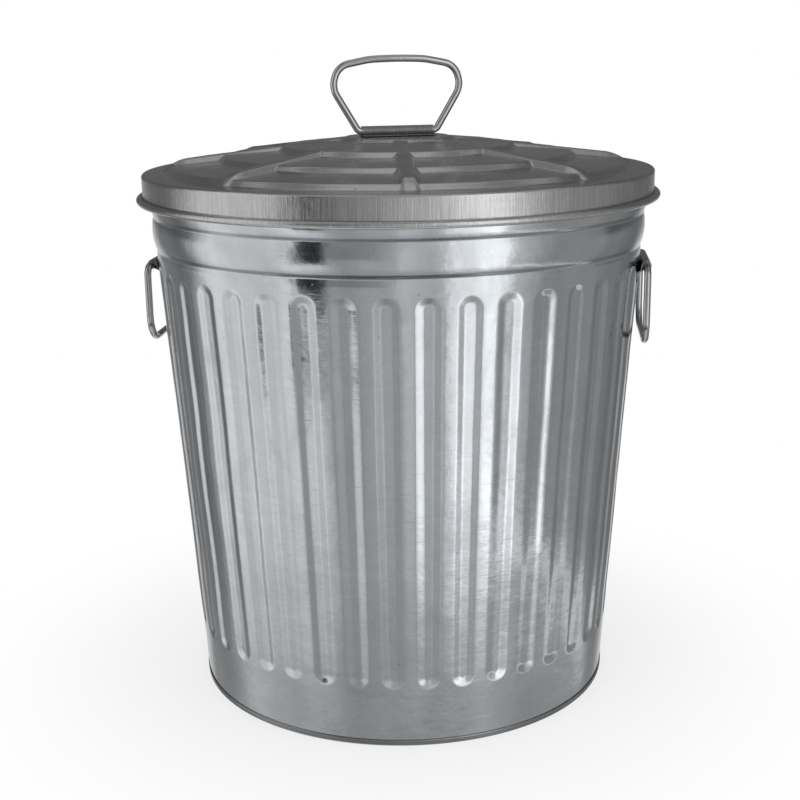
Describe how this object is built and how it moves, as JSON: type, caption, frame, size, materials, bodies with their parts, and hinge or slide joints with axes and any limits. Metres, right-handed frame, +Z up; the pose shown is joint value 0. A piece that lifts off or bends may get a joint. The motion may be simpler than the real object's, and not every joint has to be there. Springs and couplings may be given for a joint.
{
  "type": "galvanized trash can with lid",
  "caption": "Galvanized steel trash can: tapered fluted wall with beads below a rolled rim, wire side handles, and a stepped lift-off lid with a wire handle.",
  "frame": {"origin": "centre of the base, on the floor that the can stands on", "axes": "+Z up, +X to the side handle called right, -Y to the front as pictured, lock seam at the back (+Y)"},
  "size_m": [0.4118, 0.4118, 0.5031],
  "materials": {
    "body_zinc": "satin",
    "lid_zinc": "satin",
    "wire_zinc": "gloss",
    "bright_zinc": "satin"
  },
  "bodies": {
    "can": {"body_wall": "body_zinc", "bottom_pan": "body_zinc", "right_ear": "bright_zinc", "left_ear": "bright_zinc"},
    "right_bail": {"right_handle": "wire_zinc"},
    "left_bail": {"left_handle": "wire_zinc"},
    "lid": {"lid_pan": "lid_zinc", "lid_strap": "bright_zinc"},
    "lid_bail": {"lid_handle": "wire_zinc"}
  },
  "joints": [
    {"name": "lid_lift", "type": "slide", "parent": "can", "child": "lid", "axis": [0, 0, 1], "range_m": [0, 0.15]},
    {"name": "lid_handle_fold", "type": "hinge", "parent": "lid", "child": "lid_bail", "pos_m": [0, 0, 0.44518], "axis": [0.9613, 0.2756, 0], "range_deg": [-90, 90]},
    {"name": "right_handle_swing", "type": "hinge", "parent": "can", "child": "right_bail", "pos_m": [0.19538, 0, 0.343], "axis": [0, -1, 0], "range_deg": [-4, 150]},
    {"name": "left_handle_swing", "type": "hinge", "parent": "can", "child": "left_bail", "pos_m": [-0.19538, 0, 0.343], "axis": [0, 1, 0], "range_deg": [-4, 150]}
  ]
}
